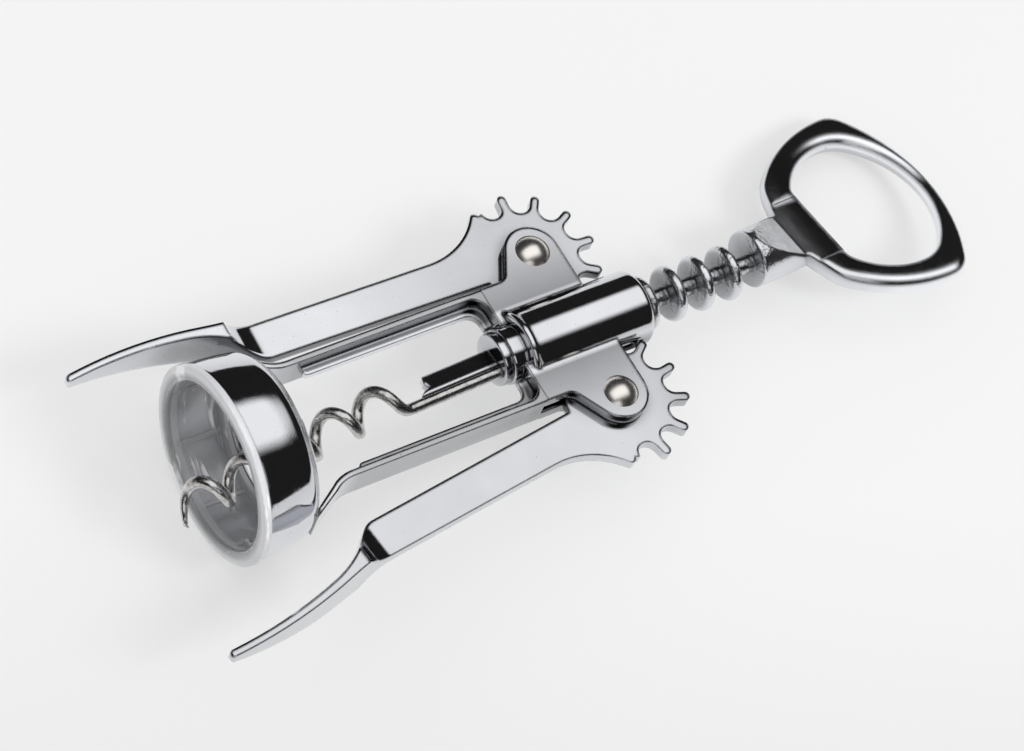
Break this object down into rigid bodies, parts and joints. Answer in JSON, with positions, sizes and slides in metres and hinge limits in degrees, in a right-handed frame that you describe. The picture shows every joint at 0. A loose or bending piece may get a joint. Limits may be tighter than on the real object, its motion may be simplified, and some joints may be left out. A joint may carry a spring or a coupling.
{
  "type": "wing corkscrew",
  "caption": "Chromed wing corkscrew with a bell over the bottle's mouth, toothed wings on a ring rack, a wire worm and a loop handle that lifts caps.",
  "frame": {"origin": "On the tool's axis, in the plane of the bell liner's mouth", "axes": "+X runs along the tool from the bell's mouth to the handle, +Y out to the left wing, +Z is the normal of the plane the wings swing in"},
  "size_m": [0.1767, 0.0642, 0.037],
  "materials": {
    "chrome_cast": "polished chrome plating on a zinc casting",
    "rivet_nickel": "smooth warm nickel",
    "worm_steel": "plated steel wire",
    "liner_plastic": "milky translucent plastic"
  },
  "bodies": {
    "frame_body": {"frame": "chrome_cast", "bell_liner": "liner_plastic", "rivet_left": "rivet_nickel", "rivet_right": "rivet_nickel"},
    "rack_carrier": {"foot_bush": "chrome_cast"},
    "spindle_body": {"spindle": "chrome_cast", "worm": "worm_steel"},
    "left_wing": {"wing_left": "chrome_cast"},
    "right_wing": {"wing_right": "chrome_cast"}
  },
  "joints": [
    {"name": "rack_slide", "type": "slide", "parent": "frame_body", "child": "rack_carrier", "axis": [-1, 0, 0], "range_m": [0, 0.025]},
    {"name": "spindle_spin", "type": "hinge", "parent": "rack_carrier", "child": "spindle_body", "pos_m": [0.0635, 0, 0], "axis": [1, 0, 0], "continuous": true},
    {"name": "left_wing_hinge", "type": "hinge", "parent": "frame_body", "child": "left_wing", "pos_m": [0.0756, 0.016, 0], "axis": [0, 0, 1], "range_deg": [-113.5, 0]},
    {"name": "right_wing_hinge", "type": "hinge", "parent": "frame_body", "child": "right_wing", "pos_m": [0.0756, -0.016, 0], "axis": [0, 0, 1], "range_deg": [0, 113.5]}
  ],
  "couplings": [
    {"joint": "left_wing_hinge", "follows": "rack_slide", "rad_per_m": -78.74},
    {"joint": "right_wing_hinge", "follows": "rack_slide", "rad_per_m": 78.74}
  ]
}
